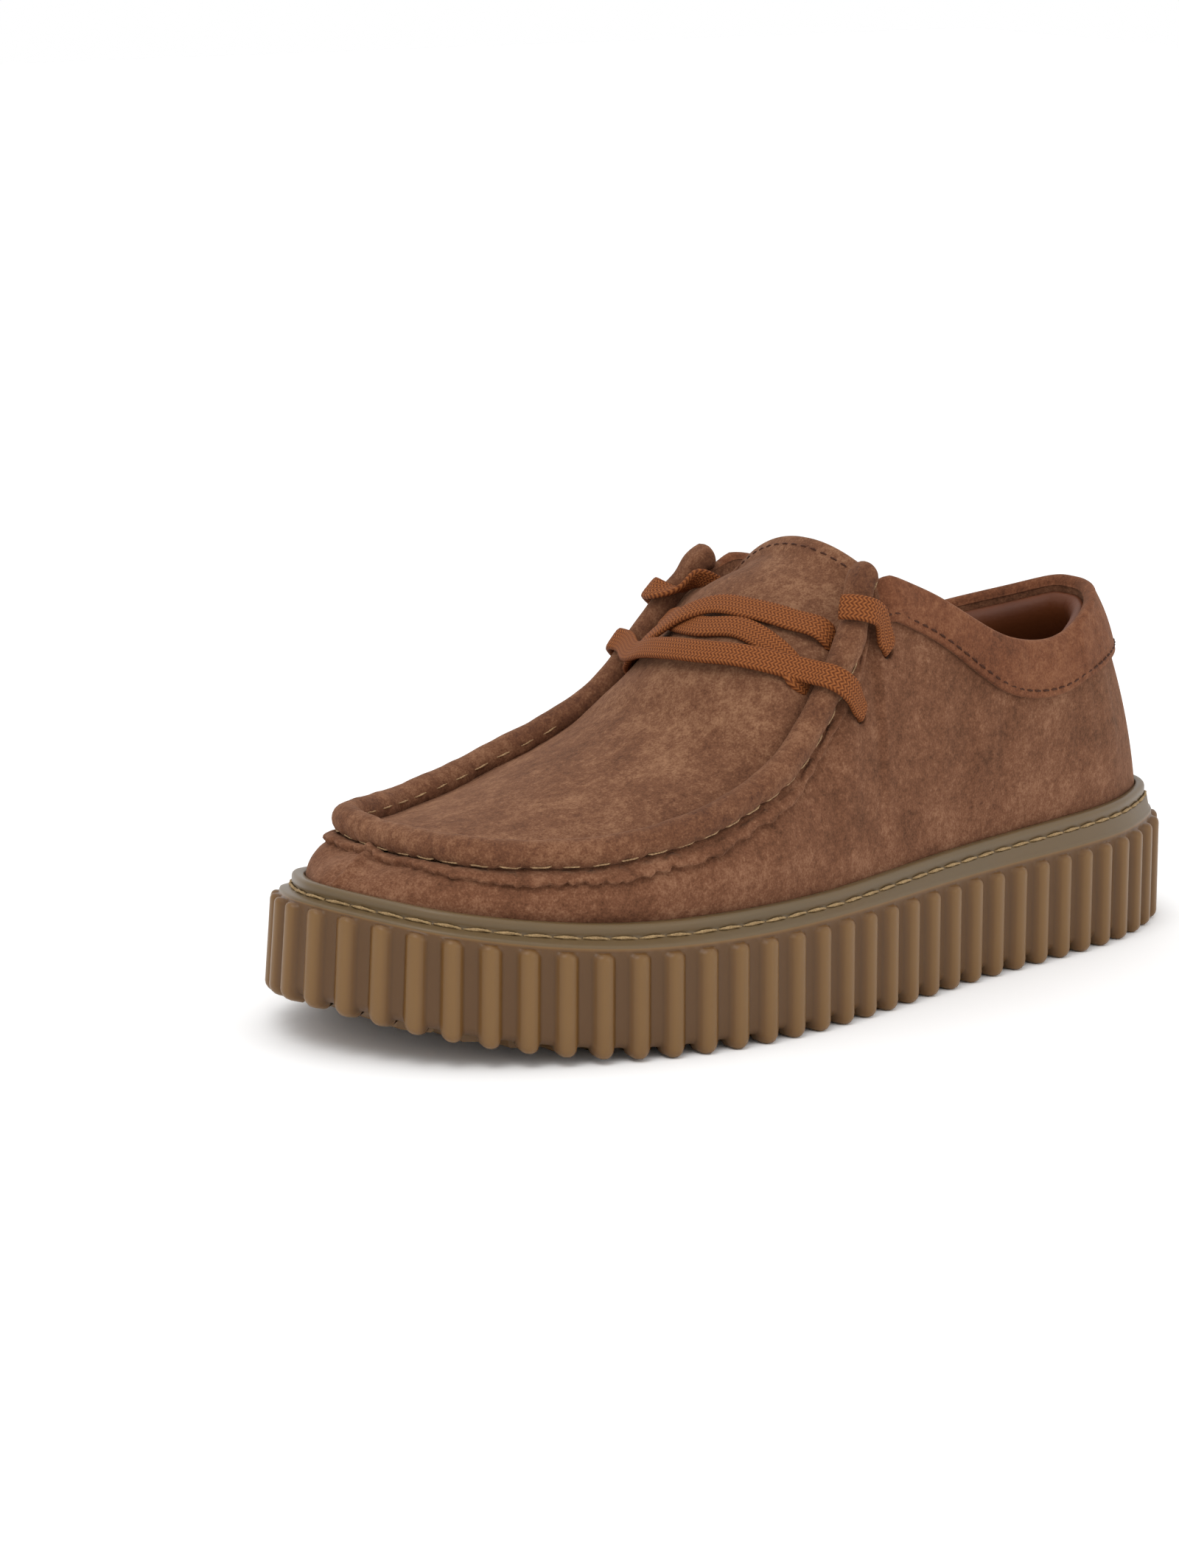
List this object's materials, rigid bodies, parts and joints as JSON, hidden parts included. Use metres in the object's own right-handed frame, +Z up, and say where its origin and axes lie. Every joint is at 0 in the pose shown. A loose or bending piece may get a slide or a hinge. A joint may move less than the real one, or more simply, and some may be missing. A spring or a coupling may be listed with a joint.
{
  "type": "lace-up moccasin shoe",
  "caption": "Low lace-up suede shoe with a rolled apron seam, folded tongue, collar band and a thick ribbed gum sole.",
  "frame": {"origin": "middle of the sole's length and width, on the ground", "axes": "+X towards the heel, -X towards the toe, +Y towards the medial side, +Z up"},
  "size_m": [0.3, 0.1164, 0.1195],
  "materials": {
    "gum_rubber": "translucent olive-tan gum rubber, smooth and slightly shiny",
    "footbed_leather": "smooth tan leather",
    "brown_suede": "mottled mid-brown suede, matt nap",
    "apron_suede": "mottled mid-brown suede, matt nap",
    "roll_suede": "brown suede, rolled over a seam",
    "band_suede": "darker brown suede with one stitch row",
    "tan_leather": "smooth tan-brown leather",
    "waxed_cotton": "flat woven cotton lace"
  },
  "bodies": {
    "root": {"outsole": "gum_rubber", "insole": "footbed_leather", "upper": "brown_suede", "apron_tongue": "apron_suede", "apron_roll": "roll_suede", "collar_band": "band_suede", "collar_lining": "tan_leather", "laces": "waxed_cotton", "lace_end_lateral": "waxed_cotton", "lace_end_medial": "waxed_cotton"}
  },
  "joints": []
}
